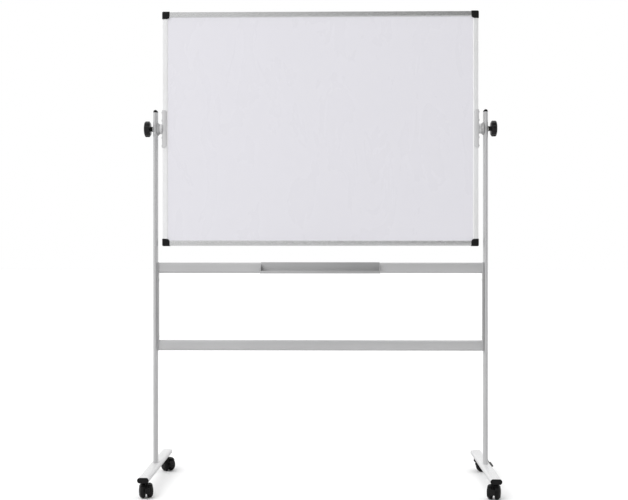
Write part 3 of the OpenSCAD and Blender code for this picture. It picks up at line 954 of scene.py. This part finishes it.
def casters():
    shapes = {"hood": hood_shape(), "wheel": wheel_shape(), "pedal": pedal_shape()}
    flip = Matrix.Diagonal((1, 1, -1, 1))
    for name in CASTERS:
        place = caster_place(name)
        hood = moved(shapes["hood"].copy(), place)
        piece(f"hood_{name}", hood, f"caster_{name}", HOOD_BLACK, [f"caster_hood_{name}"], 60)
        pedal = moved(shapes["pedal"].copy(), place)
        piece(f"pedal_{name}", pedal, f"pedal_{name}", HOOD_BLACK, [f"caster_pedal_{name}"], 60)
        for letter, mirror in (("a", Matrix.Identity(4)), ("b", flip)):
            axle = turned_to((0, -TRAIL, WHEEL_R), (1, 0, 0))
            wheel = moved(shapes["wheel"].copy(), place @ axle @ mirror)
            body, node = f"wheel_{letter}_{name}", f"caster_wheel_{letter}_{name}"
            piece(body, wheel, body, WHEEL_BLACK, [node], 50)
        finish_node(f"caster_axle_{name}", ZINC)


def kept_nodes():
    """CAD nodes whose own shape is right."""
    for node in ("writing_sheet_front", "writing_sheet_rear"):
        finish_node(node, LACQUER)
    finish_node("board_core", paper_core())
    for node in ("post_inserts", "caster_inserts", "caster_stems"):
        finish_node(node, ZINC)
    finish_node("foot_bolts", ZINC, 0.5)
    for side in SIDES:
        finish_node(f"pivot_stud_{side}", ZINC)
        finish_node(f"knob_washer_{side}", ZINC, 0.3)


# ---- Studio ----

def area_light(name, place, target, size, power):
    data = bpy.data.lights.new(name, "AREA")
    data.shape = "RECTANGLE"
    data.size, data.size_y = size
    data.energy = power
    lamp = bpy.data.objects.new(name, data)
    lamp.location = place
    lamp.rotation_euler = (Vector(target) - Vector(place)).to_track_quat("-Z", "Y").to_euler()
    bpy.context.scene.collection.objects.link(lamp)
    return lamp


def floor():
    mesh = bpy.data.meshes.new("floor")
    reach = 40.0
    corners = [(-reach, -reach, 0), (reach, -reach, 0), (reach, reach, 0), (-reach, reach, 0)]
    mesh.from_pydata(corners, [], [(0, 1, 2, 3)])
    mesh.materials.append(studio_floor())
    paper = bpy.data.objects.new("floor", mesh)
    bpy.context.scene.collection.objects.link(paper)


def room():
    """White walls, and a dark one behind the camera to the right. The camera sees plain white."""
    world = bpy.data.worlds.new("room")
    bpy.context.scene.world = world
    world.use_nodes = True
    nodes, links = world.node_tree.nodes, world.node_tree.links
    place = nodes.new("ShaderNodeTexCoord")
    split = nodes.new("ShaderNodeSeparateXYZ")
    links.new(place.outputs["Generated"], split.inputs["Vector"])

    def step(axis, start, end):
        made = nodes.new("ShaderNodeMapRange")
        made.interpolation_type = "SMOOTHSTEP"
        made.inputs["From Min"].default_value = start
        made.inputs["From Max"].default_value = end
        links.new(split.outputs[axis], made.inputs["Value"])
        return made.outputs["Result"]

    dark = step("X", -0.22, 0.16)
    for other in (step("X", 0.85, 0.62), step("Y", -0.1, -0.5)):
        product = nodes.new("ShaderNodeMath")
        product.operation = "MULTIPLY"
        links.new(dark, product.inputs[0])
        links.new(other, product.inputs[1])
        dark = product.outputs["Value"]
    level = nodes.new("ShaderNodeMapRange")
    level.inputs["To Min"].default_value = 1.0
    level.inputs["To Max"].default_value = 0.16
    links.new(dark, level.inputs["Value"])
    seen, plain = nodes["Background"], nodes.new("ShaderNodeBackground")
    links.new(level.outputs["Result"], seen.inputs["Strength"])
    for shade in (seen, plain):
        shade.inputs["Color"].default_value = (1, 1, 1, 1)
    ray = nodes.new("ShaderNodeLightPath")
    pick = nodes.new("ShaderNodeMixShader")
    links.new(ray.outputs["Is Camera Ray"], pick.inputs["Fac"])
    links.new(seen.outputs["Background"], pick.inputs[1])
    links.new(plain.outputs["Background"], pick.inputs[2])
    links.new(pick.outputs["Shader"], nodes["World Output"].inputs["Surface"])


def lights():
    """Soft daylight from above, and a soft light in front on the left that shows in no reflection."""
    lamp = bpy.data.lights.new("overhead", "SUN")
    lamp.energy = 1.1
    lamp.angle = math.radians(70)
    overhead = bpy.data.objects.new("overhead", lamp)
    overhead.rotation_euler = (math.radians(18), math.radians(-14), 0)
    overhead.visible_glossy = False
    bpy.context.scene.collection.objects.link(overhead)
    front = area_light("front", (-2.6, -4.6, 2.6), (0, 0, 0.9), (3.0, 3.0), 60)
    front.visible_glossy = False


def studio():
    settings = bpy.context.scene.view_settings
    settings.view_transform = "Standard"
    settings.look = "None"
    floor()
    room()
    lights()


def camera():
    data = bpy.data.cameras.new("camera")
    data.sensor_width = 36.0
    data.lens = 61.7
    view = bpy.data.objects.new("camera", data)
    view.location = (0.055, -4.10, 0.891)
    view.rotation_euler = (math.pi / 2 - 0.001, 0, 0.0191)
    bpy.context.scene.collection.objects.link(view)
    bpy.context.scene.camera = view


camera()
studio()
frame_rails()
corner_caps()
pivot_brackets()
board_screws()
posts()
post_caps()
feet()
foot_end_caps()
crossbars()
crossbar_plates()
plate_screws()
friction_discs()
pen_tray()
knobs()
casters()
kept_nodes()
